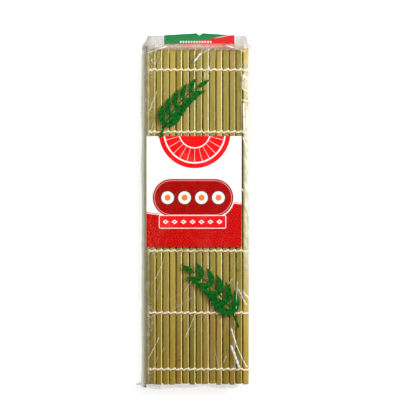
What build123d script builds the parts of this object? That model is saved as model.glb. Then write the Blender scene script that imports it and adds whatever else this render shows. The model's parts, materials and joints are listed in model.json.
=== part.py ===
from build123d import *
import math
import os

# A sushi rolling mat, folded in three and packed in a clear film bag with two printed cards.
# The mat is one chain of flat bamboo slats, tied side by side by six rows of twine.
# The front third lies on top, the middle third under it and the back third lowest. Each fold
# turns in three gaps, round one tilted slat and one steep slat.
# Millimetres: X across the slats, Y along them, Z up from the face that the bag lies on.

# Bamboo slats
slat_length = 270.0
slat_width = 4.44
slat_thickness = 1.8
edge_land = 0.4
end_stagger = 0.5

# Twine, two strands to a row
strand_thickness = 0.75
twine_clearance = 0.08
knot_length = 1.3
knot_width = 2.4
row_place_shares = (0.4356, 0.2507, 0.078, -0.1033, -0.2878, -0.4556)

# Slats in each third
front_slats = 14
middle_slats = 14
back_slats = 14

# Turns of the chain in a fold, from the upper layer to the lower one
tilt_turn = 25.0
quarter_turn = 90.0
steep_turn = 65.0

# Label card on the front third
card_thickness = 0.3
label_width = 77.0
label_height = 89.0
label_centre_x = -1.4
label_rise = 19.9

# Header card under the back third
header_width = 57.0
header_height = 112.0
header_head = 10.5
header_centre_x = 2.6
notch_width = 3.4
notch_depth = 1.7

# Film bag
film_thickness = 0.2
packing_clearance = 0.15
side_slack = 0.9
pack_shift = 0.95
shoulder = 2.2
bag_head = 11.0
bag_foot = 4.5
seal_band = 1.5
corner_cut_length = 9.9
left_corner_cut = 4.9
right_corner_cut = 1.9
cut_overrun = 5.0

# Sizes that follow
slat_gap = strand_thickness + 2 * twine_clearance
pitch = slat_width + slat_gap
half_slat = slat_thickness / 2
edge_bevel = half_slat - edge_land / 2
strand_height = half_slat + twine_clearance + strand_thickness / 2
strand_spread = strand_thickness / 2 + twine_clearance / 2
strand_width = strand_thickness / math.sqrt(2)
twine_reach = half_slat + twine_clearance + strand_thickness
tilt_run = pitch * math.cos(math.radians(tilt_turn))
tilt_drop = pitch * math.sin(math.radians(tilt_turn))
layer_step = tilt_run + tilt_drop
fold_width = middle_slats * pitch + tilt_run + tilt_drop

header_floor = film_thickness + packing_clearance
back_level = header_floor + card_thickness + packing_clearance + twine_reach
front_level = back_level + 2 * layer_step
label_floor = front_level + twine_reach + packing_clearance
roof_level = label_floor + card_thickness + packing_clearance
front_edge = pack_shift - fold_width / 2 + tilt_drop + (middle_slats - front_slats) * pitch

bag_half_length = (slat_length + bag_head + bag_foot) / 2
bag_half_width = fold_width / 2 + twine_reach + side_slack
mat_centre = (bag_foot - bag_head) / 2
mat_top = mat_centre + slat_length / 2
mat_foot = mat_centre - slat_length / 2

# Names and turns along the chain, from the front third's free edge
names = [f"front_slat_{number + 1:02d}" for number in range(front_slats)]
names += ["right_fold_slat_tilted", "right_fold_slat_steep"]
names += [f"middle_slat_{number + 1:02d}" for number in range(middle_slats)]
names += ["left_fold_slat_tilted", "left_fold_slat_steep"]
names += [f"back_slat_{number + 1:02d}" for number in range(back_slats)]
slat_count = len(names)
fold_turns = (tilt_turn, quarter_turn, steep_turn)
turns = [0] * (slat_count + 1)
turns[front_slats:front_slats + len(fold_turns)] = [-turn for turn in fold_turns]
left_fold = front_slats + 2 + middle_slats
turns[left_fold:left_fold + len(fold_turns)] = fold_turns

# Pivots in the gaps and headings of the slats, in degrees from X towards Z
pivots = [(front_edge, front_level)]
headings = []
heading = 0
for number in range(slat_count):
    heading += turns[number]
    headings.append(heading)
    x, z = pivots[-1]
    x += pitch * math.cos(math.radians(heading))
    z += pitch * math.sin(math.radians(heading))
    pivots.append((x, z))


def bamboo_slat(number):
    outline = Polyline(
        (slat_width / 2 - edge_bevel, half_slat),
        (slat_width / 2, edge_land / 2),
        (slat_width / 2, -edge_land / 2),
        (slat_width / 2 - edge_bevel, -half_slat),
        (edge_bevel - slat_width / 2, -half_slat),
        (-slat_width / 2, -edge_land / 2),
        (-slat_width / 2, edge_land / 2),
        (edge_bevel - slat_width / 2, half_slat),
        close=True,
    )
    blank = extrude(Plane.XZ * make_face(outline), slat_length / 2, both=True)
    stagger = end_stagger * math.sin(number * (number + 3))
    x = (pivots[number][0] + pivots[number + 1][0]) / 2
    z = (pivots[number][1] + pivots[number + 1][1]) / 2
    return Pos(x, mat_centre + stagger, z) * Rot(0, -headings[number], 0) * blank


# Where a strand on one side of the slats passes a gap: at one corner, or round the outside of
# a sharp turn at the ends of the two slats.
def gap_places(gap, side):
    x, z = pivots[gap]
    before = headings[max(gap - 1, 0)]
    after = headings[min(gap, slat_count - 1)]
    half_turn = math.radians(after - before) / 2
    level = math.radians(before + after) / 2
    if abs(turns[gap]) > tilt_turn and side * turns[gap] < 0:
        places = []
        for way, slope in ((-1, math.radians(before)), (1, math.radians(after))):
            along = way * slat_gap / 2
            across = side * strand_height
            place_x = x + along * math.cos(slope) - across * math.sin(slope)
            place_z = z + along * math.sin(slope) + across * math.cos(slope)
            places.append((place_x, place_z))
        return places
    reach = side * strand_height / math.cos(half_turn)
    return [(x - reach * math.sin(level), z + reach * math.cos(level))]


# Corners of one strand. It leans over each slat and dives through the next gap, always with the
# same twist. The sharp turns of a fold leave no room to dive, and it keeps to its side there.
def strand_route(side, row):
    lean = -side * strand_spread
    route = [(x, row + lean, z) for x, z in gap_places(0, side)]
    for gap in range(1, slat_count + 1):
        dives = abs(turns[gap]) <= tilt_turn
        if dives:
            lean = side * strand_spread
        route += [(x, row + lean, z) for x, z in gap_places(gap, side)]
        if dives and gap < slat_count:
            side = -side
            route += [(x, row + lean, z) for x, z in gap_places(gap, side)]
    return route


# A square bar along a route of corners, mitred at each corner
def mitred_bar(route):
    points = [Vector(*place) for place in route]
    runs = [(end - start).normalized() for start, end in zip(points, points[1:])]
    side_way = Vector(0, 1, 0).cross(runs[0]).normalized()
    other_way = runs[0].cross(side_way).normalized()
    ring = []
    for i, j in ((1, 1), (-1, 1), (-1, -1), (1, -1)):
        ring.append(points[0] + (side_way * i + other_way * j) * (strand_width / 2))
    faces = [Face(Wire.make_polygon(ring))]
    for number, run in enumerate(runs):
        mitre = run + runs[min(number + 1, len(runs) - 1)]
        end = points[number + 1]
        moved = [corner + run * ((end - corner).dot(mitre) / run.dot(mitre)) for corner in ring]
        for k in range(len(ring)):
            m = (k + 1) % len(ring)
            faces.append(Face(Wire.make_polygon([ring[k], ring[m], moved[m], moved[k]])))
        ring = moved
    faces.append(Face(Wire.make_polygon(ring)))
    return Solid(Shell(faces))


# A knot holds the two strands together past the free edge of an outer slat.
def knot(gap, way, row):
    x, z = pivots[gap]
    inner = slat_gap / 2 - twine_clearance
    block = Box(knot_length + inner, knot_width, 2 * twine_reach)
    return Pos(x - way * (knot_length - inner) / 2, row, z) * block


def twine_row(row):
    strands = [mitred_bar(strand_route(side, row)) for side in (1, -1)]
    start_knot = knot(0, 1, row)
    end_knot = knot(slat_count, -1, row)
    return start_knot + strands[0] + strands[1] + end_knot


def label_card():
    card = Box(label_width, label_height, card_thickness)
    return Pos(label_centre_x, mat_centre + label_rise, label_floor + card_thickness / 2) * card


def header_card():
    top = mat_top + header_head
    outline = Polyline(
        (header_centre_x - header_width / 2, top - header_height),
        (header_centre_x + header_width / 2, top - header_height),
        (header_centre_x + header_width / 2, top),
        (header_centre_x + notch_width / 2, top),
        (header_centre_x, top - notch_depth),
        (header_centre_x - notch_width / 2, top),
        (header_centre_x - header_width / 2, top),
        close=True,
    )
    return extrude(Pos(0, 0, header_floor) * make_face(outline), card_thickness)


# The space under an arched film, open at the head and closed by a steep slope at the foot
def arch(half_width, floor, roof, slope_start, slope_end, head):
    section = Polyline(
        (-half_width, floor),
        (half_width, floor),
        (half_width, roof - shoulder),
        (half_width - shoulder, roof),
        (shoulder - half_width, roof),
        (-half_width, roof - shoulder),
        close=True,
    )
    side_view = Polyline(
        (slope_start, floor),
        (head, floor),
        (head, roof),
        (slope_end, roof),
        close=True,
    )
    tunnel = extrude(Plane.XZ * make_face(section), 2 * bag_half_length, both=True)
    wedge = extrude(Plane.YZ * make_face(side_view), 2 * half_width, both=True)
    return tunnel & wedge


# The film's two corners at the head are cut aslant.
def cut_corners(film):
    edge = bag_half_width + film_thickness
    start = bag_half_length - corner_cut_length
    end = bag_half_length + corner_cut_length
    for way, cut_width in ((-1, left_corner_cut), (1, right_corner_cut)):
        corner = Polyline(
            (way * edge, start),
            (way * (edge - 2 * cut_width), end),
            (way * (edge + cut_width), end),
            (way * (edge + cut_width), start),
            close=True,
        )
        film = film - extrude(make_face(corner), 2 * roof_level, both=True)
    return film


def bag_front_film():
    seal_end = seal_band - bag_half_length
    slope_end = mat_foot - end_stagger - packing_clearance
    outer = arch(
        bag_half_width + film_thickness,
        film_thickness,
        roof_level + film_thickness,
        seal_end,
        slope_end - film_thickness,
        bag_half_length,
    )
    inner = arch(
        bag_half_width,
        film_thickness - cut_overrun,
        roof_level,
        seal_end + film_thickness,
        slope_end,
        bag_half_length + cut_overrun,
    )
    seal = Box(2 * bag_half_width, seal_band + film_thickness, film_thickness)
    seal_place = Pos(0, (seal_end + film_thickness - bag_half_length) / 2, film_thickness * 3 / 2)
    return cut_corners(outer - inner + seal_place * seal)


def bag_back_film():
    sheet = Box(2 * (bag_half_width + film_thickness), 2 * bag_half_length, film_thickness)
    return cut_corners(Pos(0, 0, film_thickness / 2) * sheet)


parts = {name: bamboo_slat(number) for number, name in enumerate(names)}
for number, share in enumerate(row_place_shares):
    parts[f"twine_row_{number + 1}"] = twine_row(mat_centre + share * slat_length)
parts["label_card"] = label_card()
parts["header_card"] = header_card()
parts["bag_front_film"] = bag_front_film()
parts["bag_back_film"] = bag_back_film()

os.makedirs("parts", exist_ok=True)
for name, shape in parts.items():
    export_step(shape, f"parts/{name}.step")
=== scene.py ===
import json
import math
import random

import bmesh
import bpy
from mathutils import Matrix, Vector, noise


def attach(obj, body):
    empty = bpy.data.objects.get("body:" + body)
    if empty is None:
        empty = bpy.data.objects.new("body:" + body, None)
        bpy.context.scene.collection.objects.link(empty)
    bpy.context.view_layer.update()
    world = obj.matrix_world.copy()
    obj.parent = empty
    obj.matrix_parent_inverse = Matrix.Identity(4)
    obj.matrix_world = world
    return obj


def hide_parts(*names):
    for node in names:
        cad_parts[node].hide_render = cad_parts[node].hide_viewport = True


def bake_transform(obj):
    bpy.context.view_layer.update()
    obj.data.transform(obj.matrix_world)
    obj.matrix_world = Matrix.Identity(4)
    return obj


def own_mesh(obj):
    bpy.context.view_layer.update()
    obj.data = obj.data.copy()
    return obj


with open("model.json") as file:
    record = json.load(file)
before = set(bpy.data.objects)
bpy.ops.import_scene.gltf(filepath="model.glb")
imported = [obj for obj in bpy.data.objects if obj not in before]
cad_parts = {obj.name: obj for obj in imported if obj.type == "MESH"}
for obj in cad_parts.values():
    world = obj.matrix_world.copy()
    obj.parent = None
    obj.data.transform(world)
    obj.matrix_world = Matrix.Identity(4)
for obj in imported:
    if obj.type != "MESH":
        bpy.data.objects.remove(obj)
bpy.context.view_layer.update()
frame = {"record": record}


# The view. The pack lies flat and is seen from straight above through a long lens, with the
# header card at the top of the picture.
view_height = 3.0
view_width = 0.3214
view_centre = (0.00305, 0.0098)
pack_top = 0.0180

film_gate = 36.0
camera_data = bpy.data.cameras.new("overhead_camera")
camera_data.sensor_width = film_gate
camera_data.lens = film_gate * (view_height - pack_top) / view_width
camera_data.clip_end = 20.0
camera = bpy.data.objects.new("overhead_camera", camera_data)
camera.location = (view_centre[0], view_centre[1], view_height)
bpy.context.scene.collection.objects.link(camera)
bpy.context.scene.camera = camera

bpy.context.scene.view_settings.view_transform = "Standard"


# The light. One broad lamp low on the right picks out the right-hand edge of every slat, a weak
# one fills from above, and a white room stands round the table.
def studio_lamp(name, place, power, width, height):
    lamp_data = bpy.data.lights.new(name, "AREA")
    lamp_data.shape = "RECTANGLE"
    lamp_data.energy = power
    lamp_data.size = width
    lamp_data.size_y = height
    lamp = bpy.data.objects.new(name, lamp_data)
    lamp.location = place
    lamp.rotation_euler = (-Vector(place)).to_track_quat("-Z", "Y").to_euler()
    bpy.context.scene.collection.objects.link(lamp)


studio_lamp("side_lamp", (0.76, 0.56, 0.62), power=15.6, width=0.2, height=0.4)
studio_lamp("top_lamp", (0.55, 0.8, 1.7), power=8.4, width=1.2, height=0.9)


# The table. A plain white board under the pack, in a room with white walls. Both look pure white
# to the camera and in gloss, and the board keeps the pack's shadow.
table_reach = 3.0
table_glow = 0.70
room_level = 0.25


# One socket of a finish, so that a finish is worked out as a sum of plain numbers
class Link:
    def __init__(self, tree, socket):
        self.tree = tree
        self.socket = socket

    def node(self, kind, settings=None, values=None, out=0):
        made = self.tree.nodes.new(kind)
        for key, setting in (settings or {}).items():
            setattr(made, key, setting)
        for key, value in (values or {}).items():
            if isinstance(value, Link):
                self.tree.links.new(value.socket, made.inputs[key])
            elif made.inputs[key].type == "RGBA":
                made.inputs[key].default_value = (*value, 1.0)
            else:
                made.inputs[key].default_value = value
        return Link(self.tree, made.outputs[out])

    def math(self, operation, *values):
        return self.node("ShaderNodeMath", {"operation": operation}, dict(enumerate(values)))

    def __add__(self, other):
        return self.math("ADD", self, other)

    __radd__ = __add__

    def __sub__(self, other):
        return self.math("SUBTRACT", self, other)

    def __rsub__(self, other):
        return self.math("SUBTRACT", other, self)

    def __mul__(self, other):
        return self.math("MULTIPLY", self, other)

    __rmul__ = __mul__

    def __truediv__(self, other):
        return self.math("DIVIDE", self, other)

    def __neg__(self):
        return self.math("MULTIPLY", self, -1.0)

    def __abs__(self):
        return self.math("ABSOLUTE", self)

    def ramp(self, low, high):
        return self.node(
            "ShaderNodeMapRange",
            {"interpolation_type": "SMOOTHSTEP"},
            {"Value": self, "From Min": low, "From Max": high},
        )

    def mixed(self, colour_a, colour_b):
        return self.node(
            "ShaderNodeMix",
            {"data_type": "RGBA"},
            {0: self, 6: colour_a, 7: colour_b},
            out=2,
        )

    def tinted(self, colour):
        return self.node(
            "ShaderNodeMix",
            {"data_type": "RGBA", "blend_type": "MULTIPLY"},
            {0: 1.0, 6: self, 7: colour},
            out=2,
        )

    def part(self, axis):
        return self.node("ShaderNodeSeparateXYZ", {}, {0: self}, out=axis)

    def draw(self):
        return self.node("ShaderNodeTexWhiteNoise", {"noise_dimensions": "1D"}, {"W": self})

    def attribute(self, name):
        return self.node("ShaderNodeAttribute", {"attribute_name": name}, out=2)

    def length(self, other):
        return self.math("SQRT", self * self + other * other)

    def noise(self, x, y, z, detail=2.0, roughness=0.5):
        place = self.node("ShaderNodeCombineXYZ", {}, {0: x, 1: y, 2: z})
        return self.node(
            "ShaderNodeTexNoise",
            {},
            {"Vector": place, "Scale": 1.0, "Detail": detail, "Roughness": roughness},
        )


def new_finish(name):
    finish = bpy.data.materials.new(name)
    finish.use_nodes = True
    tree = finish.node_tree
    tree.nodes.clear()
    surface = tree.nodes.new("ShaderNodeBsdfPrincipled")
    output = tree.nodes.new("ShaderNodeOutputMaterial")
    tree.links.new(surface.outputs[0], output.inputs[0])
    return finish, surface, Link(tree, surface.outputs[0])


def finish_with(surface, **values):
    for key, value in values.items():
        name = key.replace("_", " ").title().replace("Ior", "IOR")
        if isinstance(value, Link):
            value.tree.links.new(value.socket, surface.inputs[name])
        elif surface.inputs[name].type == "RGBA":
            surface.inputs[name].default_value = (*value, 1.0)
        else:
            surface.inputs[name].default_value = value


def lay_mesh(name, bm, *finishes, smooth=True):
    for face in bm.faces:
        face.smooth = smooth
    mesh = bpy.data.meshes.new(name)
    bm.to_mesh(mesh)
    bm.free()
    for finish in finishes:
        mesh.materials.append(finish)
    piece = bpy.data.objects.new(name, mesh)
    bpy.context.scene.collection.objects.link(piece)
    return piece


def white_where_seen(tree, strength):
    path = tree.nodes.new("ShaderNodeLightPath")
    start = Link(tree, path.outputs["Is Camera Ray"])
    seen = start.math("MAXIMUM", start, Link(tree, path.outputs["Is Glossy Ray"]))
    seen = start.math("MAXIMUM", seen, Link(tree, path.outputs["Is Transmission Ray"]))
    return seen * strength


room = bpy.data.worlds.new("white_room")
room.use_nodes = True
bpy.context.scene.world = room
room_tree = room.node_tree
room_light = room_tree.nodes["Background"]
room_light.inputs["Color"].default_value = (1.0, 1.0, 1.0, 1.0)
room_seen = white_where_seen(room_tree, 1.0 - room_level) + room_level
room_tree.links.new(room_seen.socket, room_light.inputs["Strength"])

table_finish, surface, start = new_finish("white_table")
finish_with(
    surface,
    base_color=(0.9, 0.9, 0.9),
    roughness=0.9,
    specular_ior_level=0.0,
    emission_color=(1.0, 1.0, 1.0),
    emission_strength=white_where_seen(start.tree, table_glow),
)
bm = bmesh.new()
bmesh.ops.create_grid(bm, x_segments=1, y_segments=1, size=table_reach)
lay_mesh("table", bm, table_finish, smooth=False)


# Bamboo slats. Split from the wall of a green culm and planed flat: the green skin stays on one
# face, and the right bevel, the ends and the back show the flesh. As painted shade, the skin's
# colour also covers the left bevel, the back's flesh is darker, and both darken towards
# mid-thickness; as painted light, they are lighter and bluer towards the head. They lie side by
# side in one chain, which turns in three gaps at each fold.
slat_length = 0.270
slat_width = 0.00444
slat_thickness = 0.0018
edge_bevel = 0.00052
edge_round = 0.00009
length_cuts = 11
slat_pitch = 0.00535
end_stagger = 0.0005
mat_centre = -0.00325

behaviour = frame["record"]["behaviour"]
body_of_node = {node: body for body, nodes in behaviour["bodies"].items() for node in nodes}
first_hinge = next(joint for joint in behaviour["joints"] if joint["name"] == "curl_follow_01")
front_level = first_hinge["pos_m"][2]
front_edge = first_hinge["pos_m"][0] - slat_pitch

slats_in_third = 14
slat_names = [f"front_slat_{number + 1:02d}" for number in range(slats_in_third)]
slat_names += ["right_fold_slat_tilted", "right_fold_slat_steep"]
slat_names += [f"middle_slat_{number + 1:02d}" for number in range(slats_in_third)]
slat_names += ["left_fold_slat_tilted", "left_fold_slat_steep"]
slat_names += [f"back_slat_{number + 1:02d}" for number in range(slats_in_third)]

# Turns of the chain, in degrees, by the number of the gap
fold_turns = {14: -25.0, 15: -90.0, 16: -65.0, 30: 25.0, 31: 90.0, 32: 65.0}

gap_pivots = [Vector((front_edge, 0, front_level))]
slat_headings, slat_ways = [], []
heading = 0.0
for number in range(len(slat_names)):
    heading += fold_turns.get(number, 0.0)
    slat_headings.append(math.radians(heading))
    slat_ways.append(Vector((math.cos(slat_headings[-1]), 0, math.sin(slat_headings[-1]))))
    gap_pivots.append(gap_pivots[-1] + slat_ways[-1] * slat_pitch)


def bumped(height, strength, distance):
    return height.node(
        "ShaderNodeBump",
        {},
        {"Strength": strength, "Distance": distance, "Height": height},
    )


def bamboo_skin():
    finish, surface, start = new_finish("bamboo_skin")
    grain = start.node("ShaderNodeUVMap", {"uv_map": "grain"})
    across, along = grain.part(0), grain.part(1)
    which = start.math("FLOOR", across * 20.0)
    draw = which.draw()
    draw_two = (which + 40.0).draw()
    fibres = start.noise(across * 2600.0, along * 22.0, which, 3.0, 0.6)
    clouds = start.noise(across * 150.0, along * 26.0, which * 3.0, 3.0, 0.55)
    patches = start.noise(across * 60.0, along * 9.0, which * 5.0 + 2.0, 2.0, 0.5)
    specks = start.noise(across * 1500.0, along * 900.0, which, 1.0, 0.5)
    olive = draw.mixed((0.345, 0.250, 0.030), (0.215, 0.195, 0.030))
    straw = draw_two.ramp(0.25, 0.95).mixed(olive, (0.480, 0.350, 0.060))
    tanned = (patches.ramp(0.46, 0.66) * 0.55).mixed(straw, (0.360, 0.222, 0.062))
    greened = (clouds.ramp(0.52, 0.78) * 0.35).mixed(tanned, (0.215, 0.222, 0.036))
    streaked = (fibres.ramp(0.42, 0.75) * 0.45).mixed(greened, (0.560, 0.445, 0.115))
    dark_streaks = (fibres.ramp(0.5, 0.28) * 0.4).mixed(streaked, (0.110, 0.075, 0.010))
    joint_place = (draw_two - 0.5) * 0.5
    joint_line = (1.0 - abs(along - joint_place).ramp(0.0004, 0.0016)) * 0.55
    jointed = joint_line.mixed(dark_streaks, (0.150, 0.095, 0.030))
    speckled = (specks.ramp(0.68, 0.80) * 0.35).mixed(jointed, (0.120, 0.085, 0.025))
    towards_head = along.ramp(-0.165, 0.010)
    # painted light: the skin is tinted lighter and bluer towards the head, where the film's haze
    # brightens it, and darker and yellower towards the foot
    painted_haze_tone = speckled.tinted(towards_head.mixed((0.86, 0.78, 0.58), (1.07, 1.13, 1.28)))
    depth = start.attribute("depth")
    # painted shade: the skin darkens to near black towards mid-thickness, where the gaps between
    # slats lie in shade
    gap_shade_skin = (depth.ramp(0.80, 0.30) * 0.94).mixed(painted_haze_tone, (0.060, 0.028, 0.001))
    height = fibres * 0.6 + clouds * 0.4 - joint_line * 0.6
    finish_with(
        surface,
        base_color=gap_shade_skin,
        roughness=0.36 + fibres * 0.22,
        normal=bumped(height, 0.35, 0.0002),
        specular_ior_level=0.05,
    )
    return finish


def bamboo_flesh(name, tan, cream):
    finish, surface, start = new_finish(name)
    grain = start.node("ShaderNodeUVMap", {"uv_map": "grain"})
    across, along = grain.part(0), grain.part(1)
    which = start.math("FLOOR", across * 20.0)
    draw = (which + 9.0).draw()
    fibres = start.noise(across * 3400.0, along * 16.0, which, 3.0, 0.6)
    clouds = start.noise(across * 90.0, along * 20.0, which * 2.0, 3.0, 0.5)
    straw = draw.ramp(0.15, 0.75).mixed(tan, cream)
    aged = (clouds.ramp(0.45, 0.75) * 0.4).mixed(straw, (0.640, 0.480, 0.190))
    streaked = (fibres.ramp(0.5, 0.8) * 0.5).mixed(aged, (0.540, 0.380, 0.130))
    towards_head = along.ramp(-0.165, 0.010)
    # painted light: the flesh is tinted yellower towards the foot, like the skin
    painted_haze_tone = streaked.tinted(towards_head.mixed((1.05, 0.95, 0.68), (1.04, 1.06, 1.04)))
    depth = start.attribute("depth")
    # painted shade: the flesh darkens towards mid-thickness, down in the gaps between slats
    gap_shade_flesh = (depth.ramp(0.42, 0.20) * 0.88).mixed(painted_haze_tone, (0.100, 0.050, 0.004))
    finish_with(
        surface,
        base_color=gap_shade_flesh,
        roughness=0.62,
        specular_ior_level=0.06,
        normal=bumped(fibres, 0.5, 0.0002),
    )
    return finish


slat_finishes = (
    bamboo_skin(),
    bamboo_flesh("bamboo_flesh", (0.480, 0.360, 0.100), (0.960, 0.850, 0.450)),
    # the back faces get a darker, browner flesh: painted shade for the faces seen deep through the
    # gaps
    bamboo_flesh("bamboo_back_painted_shade", (0.400, 0.270, 0.090), (0.640, 0.480, 0.200)),
)


def bevel_edges(bm, edges, offset, segments):
    bmesh.ops.bevel(
        bm,
        geom=edges,
        offset=offset,
        offset_type="OFFSET",
        affect="EDGES",
        segments=segments,
        profile=0.5,
        material=-1,
    )


def cut_across(bm, place, way):
    whole = bm.verts[:] + bm.edges[:] + bm.faces[:]
    bmesh.ops.bisect_plane(bm, geom=whole, plane_co=place, plane_no=way)


def bamboo_slat(number):
    draw = random.Random(number * 7 + 3)
    bm = bmesh.new()
    bmesh.ops.create_cube(bm, size=1.0)
    bmesh.ops.scale(bm, vec=(slat_width, slat_length, slat_thickness), verts=bm.verts)
    long_edges = [e for e in bm.edges if abs((e.verts[0].co - e.verts[1].co).y) > slat_length / 2]
    bevel_edges(bm, long_edges, edge_bevel, segments=1)
    bevel_edges(bm, bm.edges[:], edge_round, segments=2)
    for cut in range(1, length_cuts):
        cut_across(bm, (0, (cut / length_cuts - 0.5) * slat_length, 0), (0, 1, 0))
    bow = [draw.uniform(-1, 1) for _ in range(4)]
    swell = [draw.uniform(-1, 1) for _ in range(4)]
    for vert in bm.verts:
        reach = vert.co.y / slat_length * math.tau
        vert.co.x *= 1 + 0.022 * (swell[0] * math.sin(reach * 1.5 + swell[1] * 3))
        vert.co.z *= 1 + 0.03 * (swell[2] * math.sin(reach * 2.2 + swell[3] * 3))
        vert.co.x += 0.00011 * bow[0] * math.sin(reach + bow[1] * 3)
        vert.co.x += 0.00005 * bow[2] * math.sin(reach * 3 + bow[3] * 3)
    depth = bm.verts.layers.float.new("depth")
    for vert in bm.verts:
        vert[depth] = abs(vert.co.z) / (slat_thickness / 2)
    grain = bm.loops.layers.uv.new("grain")
    for face in bm.faces:
        tilt, rise = face.normal.x, face.normal.z
        # the skin finish covers the top face and, as painted shade, the left bevel, which faces
        # away from the lamp; the right bevel, the ends and the sides get the flesh, the back a
        # darker flesh
        skin_face_or_shaded_bevel = rise > 0.93 or (tilt < -0.3 and rise > 0.3)
        face.material_index = 0 if skin_face_or_shaded_bevel else 2 if rise < -0.93 else 1
        for loop in face.loops:
            place = loop.vert.co
            loop[grain].uv = (number * 0.05 + 0.02 + place.x + place.z * 0.3, place.y + place.z)
    middle = (gap_pivots[number] + gap_pivots[number + 1]) / 2
    middle.y = mat_centre + end_stagger * math.sin(number * (number + 3))
    bmesh.ops.rotate(bm, verts=bm.verts, matrix=Matrix.Rotation(-slat_headings[number], 3, "Y"))
    bmesh.ops.translate(bm, verts=bm.verts, vec=middle)
    slat = lay_mesh(f"bamboo_{slat_names[number]}", bm, *slat_finishes, smooth=False)
    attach(slat, body_of_node[slat_names[number]])
    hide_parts(slat_names[number])


for number in range(len(slat_names)):
    bamboo_slat(number)


# Twine. Six rows of cream cotton, two strands to a row and two plies to a strand. The strands
# change sides in every gap, one over and one under each slat, and are knotted at both free edges.
strand_half_width = 0.00078
strand_half_thickness = 0.00040
strand_height = 0.00136
strand_spread = 0.00050
ply_lay = 0.0026
tube_sides = 8
knot_width = 0.00036
knot_length = 0.00042
knot_depth = 0.00058
row_places = [
    mat_centre + share * slat_length
    for share in (0.4356, 0.2507, 0.078, -0.1033, -0.2878, -0.4556)
]
slat_count = len(slat_names)


def twine_finish():
    finish, surface, start = new_finish("cotton_twine")
    ply = start.attribute("ply")
    place = start.node("ShaderNodeTexCoord", out=3)
    across, along, up = place.part(0), place.part(1), place.part(2)
    fluff = start.noise(across * 2600.0, along * 2600.0, up * 2600.0, 3.0, 0.6)
    dye = start.noise(across * 90.0, along * 160.0, up * 90.0, 2.0, 0.5)
    cream = dye.ramp(0.35, 0.7).mixed((0.995, 0.890, 0.610), (0.995, 0.830, 0.650))
    # painted shade: darker in the grooves between the two plies
    ply_groove_shade = (ply.ramp(-0.2, -0.95) * 0.4).mixed(cream, (0.600, 0.450, 0.290))
    # red ink rubbed off the label on one row
    rubbed = (abs(along + 0.0312) - 0.0020).ramp(0.0006, -0.0006)
    rubbed = rubbed * (abs(across + 0.0025) - 0.0150).ramp(0.002, -0.002) * up.ramp(0.015, 0.0165)
    inked = (rubbed * dye.ramp(0.40, 0.55) * 0.55).mixed(ply_groove_shade, (0.720, 0.120, 0.050))
    fibre = (fluff.ramp(0.5, 0.75) * 0.35).mixed(inked, (0.970, 0.910, 0.780))
    finish_with(
        surface,
        base_color=fibre,
        roughness=0.9,
        normal=bumped(fluff + ply * 0.6, 0.6, 0.0002),
        specular_ior_level=0.10,
        sheen_weight=0.3,
    )
    return finish


cotton_twine = twine_finish()


def dives_in(gap):
    return abs(fold_turns.get(gap, 0.0)) <= 25.0


# The side of the slats that a strand is on over each slat, and its lean at the slat's two ends.
def strand_sides(first_side):
    sides = []
    side = first_side
    lean = -side
    for number in range(slat_count):
        end_lean = side if dives_in(number + 1) else lean
        sides.append((side, lean, end_lean))
        lean = end_lean
        if dives_in(number + 1):
            side = -side
    return sides


def slat_normal(number):
    heading = slat_headings[min(max(number, 0), slat_count - 1)]
    return Vector((-math.sin(heading), 0, math.cos(heading)))


# Where a strand passes a slat, at a share of the slat's pitch
def strand_point(number, share, side, lean, end_lean, row):
    normal = slat_normal(number)
    start, end = gap_pivots[number], gap_pivots[number + 1]
    ends = []
    for gap, neighbour in ((number, number - 1), (number + 1, number + 1)):
        turn = math.radians(fold_turns.get(gap, 0.0))
        inner = not dives_in(gap) and side * turn > 0
        trim = strand_height * math.tan(abs(turn) / 2) / slat_pitch if inner else 0.0
        ends.append((turn, inner, trim, (normal + slat_normal(neighbour)).normalized()))
    at = ends[0][2] + (1 - ends[0][2] - ends[1][2]) * share
    way = normal
    height = strand_height
    for near, (turn, inner, trim, bisector), gap in (
        (share, ends[0], number),
        (1 - share, ends[1], number + 1),
    ):
        if dives_in(gap) and 0 < gap < slat_count:
            height *= max(math.sin(math.pi * min(near, 0.5)), 0.0) ** 0.2
        if turn and not inner:
            blend = max(0.0, 1 - near / 0.28)
            way = (way * (1 - blend) + bisector * blend).normalized()
    place = start.lerp(end, at) + way * side * height
    drift = lean + (end_lean - lean) * (share * share * (3 - 2 * share))
    place.y = row + drift * strand_spread
    return place


# One tube along a line of points, with the two plies winding round each other.
def twist_strand(bm, line, travelled):
    ply = bm.verts.layers.float.get("ply") or bm.verts.layers.float.new("ply")
    made = bmesh.ops.create_grid(bm, x_segments=len(line) - 1, y_segments=tube_sides, size=1.0)
    rings = {}
    for vert in made["verts"]:
        ring = round((vert.co.x + 1) / 2 * (len(line) - 1))
        rings.setdefault(ring, []).append((vert.co.y, vert))
    reach = travelled
    wide = Vector((0, 1, 0))
    for ring, place in enumerate(line):
        before, after = line[max(ring - 1, 0)], line[min(ring + 1, len(line) - 1)]
        if ring:
            reach += (place - line[ring - 1]).length
        run = (after - before).normalized()
        wide = (wide - run * run.dot(wide)).normalized()
        thick = run.cross(wide)
        for turn, vert in rings[ring]:
            angle = (turn + 1) * math.pi
            lobe = math.cos(2 * (angle - reach / ply_lay * math.pi))
            swell = 1 + 0.13 * lobe
            vert.co = (
                place
                + wide * (math.cos(angle) * strand_half_width * swell)
                + thick * (math.sin(angle) * strand_half_thickness * swell)
            )
            vert[ply] = lobe
    first = [vert for turn, vert in rings[0]]
    last = [vert for turn, vert in rings[len(line) - 1]]
    bmesh.ops.remove_doubles(bm, verts=made["verts"], dist=0.000001)
    for ring in (first, last):
        rim = [vert for vert in ring if vert.is_valid]
        edges = {e for v in rim for e in v.link_edges if e.is_boundary}
        bmesh.ops.contextual_create(bm, geom=list(edges))


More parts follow.
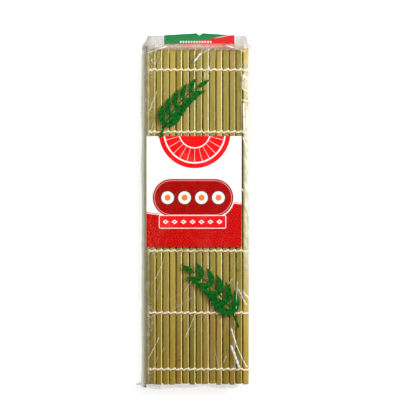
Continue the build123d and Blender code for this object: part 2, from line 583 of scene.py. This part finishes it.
def lay_twine(name, bm):
    bmesh.ops.recalc_face_normals(bm, faces=bm.faces)
    piece = lay_mesh(name, bm, cotton_twine)
    return piece


# A piece of all six rows, over the slats that it is given with their places along each.
def twine_piece(name, shares_over):
    bm = bmesh.new()
    lay_start = min(shares_over) * 0.0061
    for row_number, row in enumerate(row_places):
        for first_side in (1, -1):
            sides = strand_sides(first_side)
            line = []
            for number, shares in shares_over.items():
                for share in shares:
                    place = strand_point(number, share, *sides[number], row)
                    if not line or (place - line[-1]).length > 0.00002:
                        line.append(place)
            twist_strand(bm, line, lay_start + row_number * 0.0007)
    return lay_twine(name, bm)


half_shares = [0, 0.03, 0.07, 0.12, 0.19, 0.27, 0.36, 0.43, 0.5]
late_shares = [1 - share for share in reversed(half_shares)]
whole_shares = half_shares + late_shares[1:]

moving_gaps = [*range(1, 17), *range(30, 33)]
for gap in moving_gaps:
    near, far = gap - 1, gap
    twine = twine_piece(f"twine_over_gap_{gap:02d}", {near: late_shares, far: half_shares})
    reach = (slat_ways[near] + slat_ways[far]).normalized() * (0.0009 if dives_in(gap) else 0.0016)
    gap_pivots[gap] - reach
    gap_pivots[gap] + reach
    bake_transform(twine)
    if gap == 1:
        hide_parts(*[f"twine_row_{row + 1}" for row in range(6)])


# A knot at a free edge: an overhand knot of both strands, with two cut tails.
def twine_knots(name, gap, outward, body):
    bm = bmesh.new()
    pivot = gap_pivots[gap]
    for row_number, row in enumerate(row_places):
        draw = random.Random(gap * 10 + row_number)
        centre = Vector((pivot.x - outward * 0.0002, row, pivot.z))
        turn = draw.uniform(-0.4, 0.4)
        loop = []
        for step in range(37):
            angle = step / 36 * math.tau
            across = (math.sin(angle) + 2 * math.sin(2 * angle)) * knot_width
            along = (math.cos(angle) - 2 * math.cos(2 * angle)) * knot_length
            rise = -math.sin(3 * angle) * knot_depth
            swing = Vector((rise * 0.9, along, across * 1.25))
            loop.append(centre + Matrix.Rotation(turn, 3, "X") @ swing)
        twist_strand(bm, loop, 0.0)
        short_tail, long_tail = draw.uniform(0.0016, 0.0030), draw.uniform(0.0028, 0.0046)
        for way, length in ((1, short_tail * 0.9), (-1, long_tail)):
            tail = []
            for step in range(13):
                share = step / 12
                out = outward * 0.0010 * math.sin(share * 2.4)
                along = -way * 0.0003 - length * share
                sag = 0.0003 * math.sin(share * 4 + row_number) - 0.0005 * share * share
                tail.append(centre + Vector((out, along, way * 0.0003 + sag)))
            twist_strand(bm, tail, 0.0013)
    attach(lay_twine(name, bm), body)


twine_knots("twine_knots_front_edge", 0, -1, "front_row_01")
twine_knots("twine_knots_back_edge", slat_count, 1, "back_panel")

middle_shares = {16: late_shares, **dict.fromkeys(range(17, 29), whole_shares), 29: half_shares}
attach(twine_piece("twine_on_middle_third", middle_shares), "middle_panel")
back_shares = {32: late_shares, **dict.fromkeys(range(33, 46), whole_shares)}
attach(twine_piece("twine_on_back_third", back_shares), "back_panel")
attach(twine_piece("twine_on_first_slat", {0: half_shares}), "front_row_01")


# Label card. A printed card, red and white, that lies on the front third under the film. It is
# cut here into strips, one across each gap, that meet unseen.
label_width = 0.0763
label_height = 0.089
label_thickness = 0.0003
label_cuts = 16
label_centre = Vector((-0.00175, mat_centre + 0.0199, 0.01878))


# Rows of overlapping waves, printed as rings
def wave_rings(across, up, wave_step, ring_step):
    row = up.math("FLOOR", up / (wave_step / 2.4))
    odd = up.math("FRACT", row * 0.5) * 2.0
    wave_x = up.math("FRACT", across / wave_step + odd * 0.5) - 0.5
    wave_y = up / wave_step - row / 2.4
    return up.math("PINGPONG", wave_x.length(wave_y), ring_step)


def label_print():
    finish, surface, start = new_finish("label_print")
    card = start.node("ShaderNodeUVMap", {"uv_map": "card"})
    across, up = card.part(0), card.part(1)

    def below(value, edge, soft=0.00012):
        return value.ramp(edge + soft, edge - soft)

    def pill(x, y, half_wide, half_high, corner):
        out_x = start.math("MAXIMUM", abs(across - x) - (half_wide - corner), 0.0)
        out_y = start.math("MAXIMUM", abs(up - y) - (half_high - corner), 0.0)
        return out_x.length(out_y) - corner

    # a red field with rows of overlapping waves and a rolling top edge
    rings = wave_rings(across, up, 0.0100, 0.10).ramp(0.040, 0.060)
    field = rings.mixed((0.480, 0.001, 0.001), (0.700, 0.006, 0.005))
    field_top = start.math("SINE", across * 95.0 + 0.4) * 0.0032 + across * 0.13 - 0.0128
    in_field = (up - field_top).ramp(0.00015, -0.00015)
    on_line = (abs(up - field_top - 0.0009) - 0.0003).ramp(0.0001, -0.0001)
    ground = in_field.mixed((0.990, 0.990, 0.990), field)
    ground = (on_line * 0.9).mixed(ground, (0.740, 0.030, 0.030))

    # a bright fan that hangs from the top edge
    fan_y = label_height / 2 + 0.003
    fan = (across - 0.0005).length(up - fan_y)
    fan_angle = start.math("ARCTAN2", across - 0.0005, up - fan_y)
    ribs = start.math("PINGPONG", fan_angle, 0.1309).ramp(0.010, 0.004)
    fan_band = below(abs(fan - 0.0245), 0.0006)
    inner_band = below(abs(fan - 0.0125), 0.00045)
    rib_part = ribs * below(fan, 0.0245) * below(-fan, -0.0125)
    in_fan = below(fan, 0.0288)
    fan_white = start.math("MAXIMUM", rib_part, start.math("MAXIMUM", fan_band, inner_band))
    fan_colour = fan_white.mixed((0.880, 0.006, 0.008), (0.960, 0.940, 0.930))
    ground = in_fan.mixed(ground, fan_colour)

    # a dark banner with a pale edge and a row of cut rolls
    banner = pill(-0.0008, -0.0050, 0.0333, 0.0160, 0.0160)
    ground = below(banner, 0.0).mixed(ground, (0.940, 0.900, 0.880))
    ground = below(banner, -0.0010).mixed(ground, (0.400, 0.001, 0.001))
    ground = below(abs(banner + 0.0023), 0.00025).mixed(ground, (0.800, 0.330, 0.300))
    half_step = 0.0068
    roll_x = start.math("PINGPONG", across + 0.0008 + half_step * 8, half_step)
    roll_reach = (half_step - roll_x).length(up + 0.0050)
    in_row = below(abs(across + 0.0008), 0.0272)
    for reach, colour in (
        (0.0058, (0.030, 0.040, 0.028)),
        (0.0051, (0.950, 0.940, 0.900)),
        (0.0024, (0.880, 0.230, 0.060)),
    ):
        ground = (below(roll_reach, reach) * in_row).mixed(ground, colour)

    # a small bright ribbon with diamonds
    ribbon = pill(-0.0012, -0.0244, 0.0270, 0.0054, 0.0012)
    ground = below(ribbon, 0.0).mixed(ground, (0.950, 0.930, 0.920))
    ground = below(ribbon, -0.0006).mixed(ground, (0.860, 0.008, 0.010))
    diamond_x = start.math("PINGPONG", across + 0.0012 + 0.0036 * 20, 0.0036)
    diamond = diamond_x + abs(up + 0.0244) * 1.3
    in_ribbon = below(abs(across + 0.0012), 0.0240)
    ground = (below(diamond, 0.0024) * in_ribbon).mixed(ground, (0.960, 0.930, 0.920))
    ground = (below(diamond, 0.0010) * in_ribbon).mixed(ground, (0.860, 0.008, 0.010))

    soft_light = start.noise(across * 60.0, up * 60.0, 1.0, 2.0, 0.5)
    worn = (soft_light.ramp(0.55, 0.85) * 0.04).mixed(ground, (0.900, 0.880, 0.860))
    finish_with(
        surface,
        base_color=worn,
        roughness=0.30 + soft_light * 0.1,
        normal=bumped(soft_light, 0.15, 0.0004),
        specular_ior_level=0.06,
    )
    return finish


label_finish = label_print()
left_of_label = label_centre.x - label_width / 2
right_of_label = label_centre.x + label_width / 2

for gap in range(1, 14):
    mid = gap_pivots[gap].x
    left = left_of_label if gap == 1 else mid - slat_pitch / 2
    right = right_of_label if gap == 13 else mid + slat_pitch / 2
    bm = bmesh.new()
    bmesh.ops.create_cube(bm, size=1.0)
    bmesh.ops.scale(bm, vec=(right - left, label_height, label_thickness), verts=bm.verts)
    strip_centre = ((left + right) / 2, label_centre.y, label_centre.z)
    bmesh.ops.translate(bm, vec=strip_centre, verts=bm.verts)
    for share in (-0.32, -0.16, 0.0, 0.16, 0.32):
        cut_across(bm, (mid + share * slat_pitch, 0, 0), (1, 0, 0))
    for cut in range(1, label_cuts):
        level = label_centre.y + (cut / label_cuts - 0.5) * label_height
        cut_across(bm, (0, level, 0), (0, 1, 0))
    card_map = bm.loops.layers.uv.new("card")
    for face in bm.faces:
        for loop in face.loops:
            place = loop.vert.co
            loop[card_map].uv = (place.x - label_centre.x, place.y - label_centre.y)
    for vert in bm.verts:
        sway = math.sin(vert.co.x * 170 + 1.0) * math.sin(vert.co.y * 120 + 0.6)
        vert.co.z += 0.00007 * (1 + sway)
    strip = lay_mesh(f"label_strip_{gap:02d}", bm, label_finish, smooth=False)
    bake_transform(strip)
    if gap == 1:
        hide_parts("label_card")


# Header card. A stiff printed card, green and red, under the back third. Its head stands out
# above the slats, with a notch for hanging.
header_width = 0.057
header_height = 0.112
header_foot = 0.03025
header_centre_x = 0.0026
header_columns = 46
notch_reach = header_width / header_columns * 2


def header_print():
    finish, surface, start = new_finish("header_print")
    place = start.node("ShaderNodeTexCoord", out=3)
    across = place.part(0) - header_centre_x
    up = place.part(1) - mat_centre - slat_length / 2
    slant = 0.0063 + (across + 0.0016) * 0.188 - up
    below_head = up.ramp(-0.0058, -0.0062)
    red_part = slant.ramp(-0.0002, 0.0002)
    slant_edge = (abs(slant) - 0.0003).ramp(0.0002, -0.0002) * 0.7
    dots_x = start.math("PINGPONG", across + 0.080, 0.0022) - 0.0011
    dots_y = up - 0.0058
    in_dots = (abs(across + 0.0030) - 0.0130).ramp(0.0002, -0.0002)
    dot = (abs(dots_x) + abs(dots_y) * 0.8).ramp(0.00105, 0.0008) * in_dots
    waves = wave_rings(across, up, 0.0076, 0.12).ramp(0.030, 0.012)
    in_frame = (abs(across) - 0.0250).ramp(0.0002, -0.0002) * (up + 0.0980).ramp(-0.0002, 0.0002)
    hidden = (waves * 0.75).mixed((0.900, 0.890, 0.850), (0.780, 0.130, 0.110))
    hidden = in_frame.mixed((0.010, 0.230, 0.066), hidden)
    card = red_part.mixed((0.001, 0.205, 0.046), (0.680, 0.003, 0.003))
    edge_colour = across.ramp(0.010, 0.017).mixed((0.240, 0.022, 0.010), (0.900, 0.890, 0.860))
    card = slant_edge.mixed(card, edge_colour)
    card = (dot * 0.9).mixed(card, (0.890, 0.880, 0.850))
    card = below_head.mixed(card, hidden)
    fibre = start.noise(across * 900.0, up * 900.0, up * 10.0, 2.0, 0.5)
    finish_with(
        surface,
        base_color=(fibre * 0.02).mixed(card, (0.700, 0.690, 0.650)),
        roughness=0.34 + fibre * 0.1,
        normal=bumped(fibre, 0.15, 0.0001),
        specular_ior_level=0.08,
    )
    return finish


bm = bmesh.new()
bmesh.ops.create_grid(bm, x_segments=header_columns, y_segments=40, size=1.0)
for vert in bm.verts:
    x = vert.co.x * header_width / 2
    share = (vert.co.y + 1) / 2
    peak = 0.0026 - 0.0018 * abs(vert.co.x)
    notch = 0.0019 * max(0.0, 1 - abs(x) / notch_reach)
    at_head = max(0.0, (share - 0.9) / 0.1)
    y = header_foot + share * header_height + at_head * (peak - notch)
    vert.co = (header_centre_x + x, y, 0.00035 + 0.00004 * (1 + math.sin(x * 150 + y * 60)))
bmesh.ops.recalc_face_normals(bm, faces=bm.faces)
bmesh.ops.solidify(bm, geom=bm.faces[:], thickness=0.0003)
bmesh.ops.recalc_face_normals(bm, faces=bm.faces)
header_card = lay_mesh("header_card_print", bm, header_print(), smooth=False)
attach(header_card, "header")
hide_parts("header_card")


# Bag. Clear film, sealed along the foot and open at the head, drawn over the folded mat. It lies
# on the slats, hangs loose down the sides, and has creases. White lines painted along the creases
# and over the film are painted highlights, and its haze down the sides is painted with the
# slats' reflection, shade and glare.
bag_half_length = 0.14275
film_roof = 0.01918

# The film's section from the left-hand edge, over the slats, to the right-hand edge
film_section = [
    (-0.0433, 0.0003), (-0.0433, 0.0025), (-0.0431, 0.0070), (-0.0428, 0.0105),
    (-0.0414, 0.0145), (-0.0403, 0.0176), (-0.0392, 0.0190), (-0.0370, film_roof),
    (0.0355, film_roof), (0.0392, 0.0188), (0.0422, 0.0172), (0.0440, 0.0150),
    (0.0441, 0.0110), (0.0440, 0.0050), (0.0438, 0.0003),
]
film_half_width = 0.0438
film_wall = 0.0436
corner_cut_start = 0.1326
corner_cut_length = 0.0099
left_corner_cut = 0.0049
right_corner_cut = 0.0019
foot_slope_start = 0.1384
film_columns = 150
film_rows = 356

# Creases in the film: start, end, width, lift, and the strength of the painted highlight along it.
film_creases = [
    ((0.0382, 0.1105), (0.0412, 0.1060), 0.0011, 0.0005, 0.70),
    ((0.0376, 0.1100), (0.0374, 0.0990), 0.0009, 0.0005, 0.65),
    ((0.0384, 0.0985), (0.0412, 0.0965), 0.0009, 0.0005, 0.60),
    ((0.0378, 0.0900), (0.0408, 0.0892), 0.0010, 0.0005, 0.65),
    ((0.0380, 0.0870), (0.0384, 0.0640), 0.0015, 0.0006, 0.68),
    ((0.0404, 0.0820), (0.0404, 0.0680), 0.0012, 0.0005, 0.65),
    ((0.0376, 0.0600), (0.0404, 0.0520), 0.0012, 0.0006, 0.60),
    ((0.0395, 0.0400), (0.0400, -0.0200), 0.0012, 0.0005, 0.42),
    ((-0.0012, 0.1215), (0.0030, 0.1268), 0.0012, 0.0007, 0.98),
    ((0.0030, 0.1268), (0.0110, 0.1312), 0.0006, 0.0004, 0.50),
    ((0.0098, 0.1180), (0.0108, 0.1150), 0.0006, 0.0004, 0.50),
    ((0.0070, 0.1120), (0.0072, 0.1070), 0.0004, 0.0003, 0.45),
    ((0.0284, -0.0940), (0.0326, -0.1080), 0.0010, 0.0006, 0.85),
    ((0.0284, -0.1080), (0.0345, -0.1240), 0.0016, 0.0007, 0.95),
    ((0.0326, -0.1080), (0.0402, -0.1240), 0.0007, 0.0005, 0.65),
    ((0.0330, -0.0560), (0.0320, -0.0770), 0.0006, 0.0005, 0.55),
    ((0.0340, -0.0620), (0.0400, -0.0740), 0.0007, 0.0005, 0.60),
    ((0.0380, -0.0640), (0.0420, -0.0700), 0.0008, 0.0005, 0.60),
    ((-0.0085, -0.1000), (-0.0020, -0.0850), 0.0005, 0.0004, 0.55),
    ((-0.0100, -0.0640), (-0.0040, -0.0560), 0.0004, 0.0004, 0.45),
    ((-0.0200, -0.0790), (-0.0040, -0.0690), 0.0004, 0.0004, 0.42),
    ((-0.0240, -0.0720), (-0.0120, -0.0650), 0.0004, 0.0003, 0.38),
    ((-0.0330, -0.0540), (-0.0265, -0.0400), 0.0006, 0.0005, 0.45),
    ((-0.0385, -0.1180), (-0.0300, -0.1010), 0.0006, 0.0005, 0.50),
    ((-0.0375, 0.0820), (-0.0315, 0.0970), 0.0006, 0.0005, 0.45),
    ((0.0150, -0.1120), (0.0205, -0.1330), 0.0007, 0.0005, 0.35),
    ((-0.0420, 0.1270), (-0.0240, 0.1330), 0.0009, 0.0006, 0.55),
    ((0.0390, 0.1290), (0.0230, 0.1345), 0.0009, 0.0006, 0.50),
]
crease_draw = random.Random(31)
for _ in range(46):
    x, y = crease_draw.uniform(-0.041, 0.041), crease_draw.uniform(-0.138, 0.132)
    length, lean = crease_draw.uniform(0.003, 0.012), crease_draw.uniform(0.6, 1.5)
    film_creases.append(
        (
            (x, y),
            (x + length * math.cos(lean), y + length * math.sin(lean)),
            crease_draw.uniform(0.0004, 0.0008),
            crease_draw.uniform(0.0001, 0.0004),
            crease_draw.uniform(0.10, 0.45),
        )
    )


# How far a crease lifts the film at a place, how far off its line the place is, and the strength
# of its painted highlight there
def crease_at(x, y):
    lift, off_line, gleam_here = 0.0, 9.0, 0.0
    for (x_a, y_a), (x_b, y_b), width, height, gleam in film_creases:
        run_x, run_y = x_b - x_a, y_b - y_a
        length = math.hypot(run_x, run_y)
        along = ((x - x_a) * run_x + (y - y_a) * run_y) / length
        off = ((x - x_a) * run_y - (y - y_a) * run_x) / length
        if abs(off) > 0.004 or not -0.003 < along < length + 0.003:
            continue
        past = max(-along, along - length, 0.0)
        lift = max(lift, height * math.exp(-((math.hypot(off, past) / width) ** 2)))
        near = max(0.0, 1 - abs(off) / 0.0022)
        shown = gleam * near * math.exp(-((past / 0.0010) ** 2))
        if shown > gleam_here:
            off_line, gleam_here = off / width, shown
    return lift, off_line, gleam_here


film_runs = [(a, b, math.dist(a, b)) for a, b in zip(film_section, film_section[1:])]
film_girth = sum(length for a, b, length in film_runs)


def film_point(share):
    left = share * film_girth
    for a, b, length in film_runs:
        if left <= length or b == film_section[-1]:
            part = min(left / length, 1.0)
            return a[0] + (b[0] - a[0]) * part, a[1] + (b[1] - a[1]) * part
        left -= length


def clamped(value):
    return min(max(value, 0.0), 1.0)


# How far the film's edges come in at the head, and stand out at the seal
def film_width_at(y):
    head = clamped((y - corner_cut_start) / corner_cut_length)
    ear = math.exp(-(((y + 0.1392) / 0.0013) ** 2))
    ragged = 0.0003 * math.sin(y * 900) + 0.0004 * math.sin(y * 330 + 1)
    round_in = clamped((y - 0.1312) / 0.0030)
    right_in = -right_corner_cut * head * head - 0.0017 * round_in
    return -left_corner_cut * head, right_in, 0.0052 * ear, ragged * min(head * 3, 1.0)


def film_x_at(x, y):
    left_in, right_in, ear, ragged = film_width_at(y)
    left, right = clamped(-x / film_wall), clamped(x / film_wall)
    return x - (left_in + ragged) * left ** 4 + (right_in + ragged) * right ** 4 - ear * left ** 8


def film_lift_at(x, y, z):
    broad = noise.noise(Vector((x * 90, y * 40, z * 90 + 3)))
    fine = noise.noise(Vector((x * 300, y * 170, z * 260 + 9)))
    lift, off_line, gleam = crease_at(x, y)
    side = clamped((0.0185 - z) / 0.004)
    return (0.00022 + 0.0005 * side) * (1 + broad) + 0.00012 * (1 + fine) + lift, off_line, gleam


# How far the wavy foot of the film is drawn in
def foot_wave_at(x, y):
    wave = 0.0009 + 0.0007 * math.sin(x * 95 + 1.2) + 0.0004 * math.sin(x * 260)
    return wave * clamped((-y - foot_slope_start) / 0.0044)


# How much of its height the film keeps, at the open head and at the seal
def film_drop_at(y):
    head = clamped((y - 0.1325) / 0.0095)
    foot = clamped((-foot_slope_start - y) / 0.0028)
    return (1 - 0.62 * head * head * (3 - 2 * head)) * (1 - 0.975 * foot)


def film_sheet(columns, rows):
    bm = bmesh.new()
    layers = [bm.verts.layers.float.new(name) for name in ("off_line", "gleam", "veil")]
    bmesh.ops.create_grid(bm, x_segments=columns, y_segments=rows, size=1.0)
    return bm, *layers


bm, line_layer, gleam_layer, veil_layer = film_sheet(film_columns, film_rows)
for vert in bm.verts:
    share = (vert.co.x + 1) / 2
    y = vert.co.y * bag_half_length
    x, z = film_point(share)
    lift, off_line, gleam = film_lift_at(x, y, z)
    out = Vector((x, 0, z - 0.006)).normalized() if z < 0.0185 else Vector((0, 0, 1))
    drop = film_drop_at(y)
    at = Vector((film_x_at(x, y), y, z * drop + 0.0006 * (1 - drop)))
    at += out * lift * max(drop, 0.25)
    at.z = max(at.z, 0.0003)
    at.y += foot_wave_at(x, y)
    vert.co = at
    side = clamped((0.0188 - z) / 0.006)
    vert[line_layer] = off_line
    vert[gleam_layer] = gleam
    vert[veil_layer] = side * (1.0 if x < 0 else 0.45)
bmesh.ops.recalc_face_normals(bm, faces=bm.faces)
if sum(face.normal.z for face in bm.faces) < 0:
    bmesh.ops.reverse_faces(bm, faces=bm.faces)


def clear_film():
    finish, surface, start = new_finish("clear_film")
    place = start.node("ShaderNodeTexCoord", out=3)
    across, along, up = place.part(0), place.part(1), place.part(2)

    # where the film lies over the two cards
    beside_card = abs(across - header_centre_x) - 0.0290
    over_card = beside_card.ramp(0.0006, -0.0006) * along.ramp(0.1330, 0.1344)
    on_label = (abs(along - label_centre.y) - label_height / 2).ramp(0.0006, -0.0004)
    on_label = on_label * across.ramp(-0.0403, -0.0396) * across.ramp(0.0375, 0.0369)

    # painted highlights: white lines along the creases, fine scratch lines, sparks and curled
    # lines, where the film would catch the light
    off_line = start.attribute("off_line")
    crease_gleam = start.attribute("gleam")
    veil = start.attribute("veil")
    crinkle = start.noise(across * 260.0 + along * 90.0, along * 110.0, up * 200.0, 3.0, 0.6)
    scratch = start.noise(across * 900.0 - along * 260.0, along * 60.0, up * 60.0, 3.0, 0.55)
    glitter = start.noise(across * 1500.0, along * 1100.0, up * 900.0, 1.0, 0.5)
    scratch_highlights = scratch.ramp(0.62, 0.72) * (0.15 + 0.35 * across.ramp(-0.012, -0.038))
    spark_highlights = glitter.ramp(0.74, 0.80) * 0.55 * along.ramp(0.1335, 0.1310)
    torn = start.noise(across * 700.0, along * 420.0, up * 300.0, 3.0, 0.6)
    line = abs(off_line + (torn - 0.5) * 1.1).ramp(0.62, 0.34)
    glint = line * crease_gleam.ramp(0.05, 0.72) * (0.55 + torn.ramp(0.38, 0.50) * 0.45)
    curls = start.noise(across * 430.0, along * 250.0, up * 60.0 + 5.0, 2.0, 0.5)
    curl_place = start.noise(across * 130.0, along * 70.0, up * 30.0, 1.0, 0.5)
    curl_part = across.ramp(-0.0270, -0.0370) * 0.55 + along.ramp(0.095, 0.125) * 0.25 + 0.10
    curl_highlights = abs(curls - 0.5).ramp(0.016, 0.005) * curl_place.ramp(0.44, 0.58) * curl_part
    gleam = start.math("MAXIMUM", glint * 0.90, start.math("MAXIMUM", scratch_highlights, spark_highlights))
    gleam = start.math("MAXIMUM", gleam, curl_highlights) * (1.0 - veil * 0.75) * (1.0 - over_card * 0.7)
    gleam = gleam * (1.0 - on_label * 0.72)

    # haze over the head, the sides, the seam and the foot
    folds = crinkle.ramp(0.35, 0.65)
    head = along.ramp(0.1312, 0.1335)
    foot = along.ramp(-0.1380, -0.1400)
    head_haze = head * (1.0 - over_card * 0.97) * (0.28 + folds * 0.07)
    facing = start.node("ShaderNodeLayerWeight", {}, {"Blend": 0.5}, out=1)
    grazing = facing * facing
    at_left = across.ramp(-0.0340, -0.0385)
    seam = along + (torn - 0.5) * 0.0022
    seam_haze = seam.ramp(0.1296, 0.1322) * seam.ramp(0.1360, 0.1342) * (0.50 + folds * 0.26)
    seam_haze = seam_haze * (0.12 + 0.88 * across.ramp(0.0428, 0.0396))
    # painted reflection: a tan band of haze down the left, where the film would mirror the slats
    left_slat_reflection = across.ramp(-0.0366, -0.0384) * along.ramp(0.1340, 0.1310) * (1.0 - on_label)
    left_slat_reflection = left_slat_reflection * up.ramp(0.0140, 0.0172)
    upper_haze = along.ramp(0.000, 0.090) * 0.012 * (1.0 - on_label)
    side_haze = veil * (0.04 + folds * 0.05 + grazing * (0.75 + at_left * 0.42))
    # painted light: lighter towards the head
    sunny = along.ramp(-0.060, 0.010)
    side_haze = side_haze + left_slat_reflection * (0.34 + folds * 0.24 + sunny * 0.04)
    # painted shade: a band of haze over the left fold, dark where the lower layers lie in shade and
    # pale at the film's edge
    wall_shade_and_haze = across.ramp(-0.0399, -0.0407) * across.ramp(-0.0432, -0.0421)
    side_haze = side_haze + wall_shade_and_haze * along.ramp(0.1320, 0.1290) * 0.42
    # painted glare: a pale band of haze down the right edge
    right_glare_band = across.ramp(0.0372, 0.0396) * along.ramp(-0.090, 0.020)
    right_glare_band = right_glare_band * along.ramp(0.1290, 0.1130)
    right_glare_band = right_glare_band * up.ramp(0.0110, 0.0150) * (1.0 - along.ramp(0.050, 0.075) * 0.35)
    side_haze = side_haze + right_glare_band * (0.32 + folds * 0.42)
    foot_haze = foot * (0.02 + folds * 0.06)
    clouded = side_haze + head_haze + foot_haze + upper_haze + seam_haze
    cover = start.math("MINIMUM", start.math("MAXIMUM", gleam, clouded), 0.95)

    # the haze's tint below the head and in it: over the slats beside the label a painted reflection
    # of the slats, lighter towards the head; over the left fold painted shade; at the right edge
    # painted glare; over the red card a pink that paints its red seen through the haze
    slat_reflection_tint = sunny.mixed((0.720, 0.600, 0.320), (0.950, 0.790, 0.370))
    fold_shade_and_edge_tint = across.ramp(-0.0398, -0.0410).mixed(slat_reflection_tint, (0.400, 0.370, 0.130))
    fold_shade_and_edge_tint = across.ramp(-0.0408, -0.0424).mixed(fold_shade_and_edge_tint, (0.860, 0.870, 0.600))
    side_tint = across.ramp(0.01, -0.01).mixed((0.900, 0.910, 0.740), fold_shade_and_edge_tint)
    pale = along.ramp(0.1300, 0.1318)
    near_card = beside_card.ramp(0.0030, -0.0030)
    over_red = across.ramp(0.0100, 0.0150) * near_card
    seam_tint = near_card.mixed((0.480, 0.415, 0.350), (0.500, 0.350, 0.300))
    seam_tint = over_red.mixed(seam_tint, (0.500, 0.250, 0.190))
    head_tint = along.ramp(0.1344, 0.1356).mixed(seam_tint, (0.470, 0.450, 0.420))
    grey = pale.mixed(side_tint, head_tint)
    # painted highlight: the base colour turns white where the highlights lie
    haze_and_highlight_colour = gleam.ramp(0.15, 0.5).mixed(grey, (0.960, 0.960, 0.960))
    shape_normal = bumped(crinkle + scratch * 0.3, 0.5, 0.0006)
    finish_with(
        surface,
        base_color=haze_and_highlight_colour,
        roughness=0.12,
        normal=shape_normal,
        specular_ior_level=0.16,
    )

    # clear where nothing covers it, with the gloss of a thin sheet
    gloss = start.node("ShaderNodeFresnel", {}, {"IOR": 1.5, "Normal": shape_normal})
    tree = start.tree
    output = next(node for node in tree.nodes if node.type == "OUTPUT_MATERIAL")
    see_through = tree.nodes.new("ShaderNodeBsdfTransparent")
    mix = tree.nodes.new("ShaderNodeMixShader")
    shine = start.math("MINIMUM", start.math("MAXIMUM", gloss - 0.035, 0.0) * 0.5, 0.22)
    shine = shine * (1.0 - over_card * 0.8) * (1.0 - on_label * 0.6)
    factor = start.math("MINIMUM", cover + shine, 1.0)
    tree.links.new(factor.socket, mix.inputs[0])
    tree.links.new(see_through.outputs[0], mix.inputs[1])
    tree.links.new(surface.outputs[0], mix.inputs[2])
    tree.links.new(mix.outputs[0], output.inputs[0])
    return finish


film_finish = clear_film()
front_film = lay_mesh("clear_front_film", bm, film_finish)
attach(front_film, "bag")
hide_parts("bag_front_film")
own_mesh(front_film)

bm, line_layer, gleam_layer, veil_layer = film_sheet(columns=60, rows=190)
for vert in bm.verts:
    y = vert.co.y * bag_half_length
    x = film_x_at(vert.co.x * film_half_width, y)
    rise = 0.00004 + 0.00006 * (1 + noise.noise(Vector((x * 200, y * 120, 4))))
    y += foot_wave_at(x, y)
    vert.co = (x, y, rise)
    lift, off_line, gleam = crease_at(x, -y)
    vert[line_layer] = off_line
    vert[gleam_layer] = gleam * 0.5
bmesh.ops.solidify(bm, geom=bm.faces[:], thickness=0.00004)
bmesh.ops.recalc_face_normals(bm, faces=bm.faces)
back_film = lay_mesh("clear_back_film", bm, film_finish)
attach(back_film, "bag")
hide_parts("bag_back_film")


# Prints on the film. Two sprigs in green ink, each a stem with five pairs of leaves and one at the
# tip, printed flat on the front film's outer face.
def green_ink():
    finish, surface, start = new_finish("green_ink")
    place = start.node("ShaderNodeTexCoord", out=3)
    across, along = place.part(0), place.part(1)
    patchy = start.noise(across * 620.0, along * 620.0, along * 20.0, 2.0, 0.5)
    finish_with(
        surface,
        base_color=patchy.ramp(0.36, 0.62).mixed((0.002, 0.055, 0.002), (0.004, 0.145, 0.018)),
        roughness=0.3 + patchy * 0.1,
        specular_ior_level=0.03,
        alpha=0.94 + patchy * 0.06,
    )
    return finish


ink = green_ink()


def ink_strip(bm, points, widths):
    made = bmesh.ops.create_grid(bm, x_segments=len(points) - 1, y_segments=2, size=1.0)
    for vert in made["verts"]:
        step = round((vert.co.x + 1) / 2 * (len(points) - 1))
        before, after = points[max(step - 1, 0)], points[min(step + 1, len(points) - 1)]
        run = (after - before).normalized()
        across = Vector((-run.y, run.x))
        place = points[step] + across * widths[step] * vert.co.y
        lift = film_lift_at(place.x, place.y, film_roof)[0]
        vert.co = (place.x, place.y, film_roof + lift + 0.00012)


def leaf(bm, root, way, length, width, bend):
    points, widths = [], []
    for step in range(9):
        share = step / 8
        turn = way + bend * share
        points.append(root + Vector((math.cos(turn), math.sin(turn))) * length * share)
        widths.append(width * max(math.sin(math.pi * share ** 0.8), 0.02))
    ink_strip(bm, points, widths)


def sprig(name, foot, way, size, hand):
    bm = bmesh.new()
    stem, widths = [], []
    for step in range(25):
        share = step / 24
        turn = way + hand * 0.35 * share
        stem.append(foot + Vector((math.cos(turn), math.sin(turn))) * size * share)
        widths.append(0.00095 * (1 - 0.7 * share))
    ink_strip(bm, stem, widths)
    for step in range(5, 24, 4):
        share = step / 24
        run = way + hand * 0.7 * share
        reach = size * (0.38 - 0.15 * share)
        for lean in (0.95, -0.95):
            leaf(bm, stem[step], run + lean, reach, reach * 0.160, -lean * 0.45)
    leaf(bm, stem[-1], way + hand * 0.7, size * 0.24, size * 0.036, 0.0)
    for face in bm.faces:
        if face.normal.z < 0:
            face.normal_flip()
    piece = lay_mesh(name, bm, ink)
    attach(piece, "bag")
    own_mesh(piece)


sprig("green_sprig_upper", Vector((-0.0290, 0.0600)), 1.28, 0.050, hand=-1)
sprig("green_sprig_lower", Vector((0.0340, -0.0925)), 1.90, 0.056, hand=1)
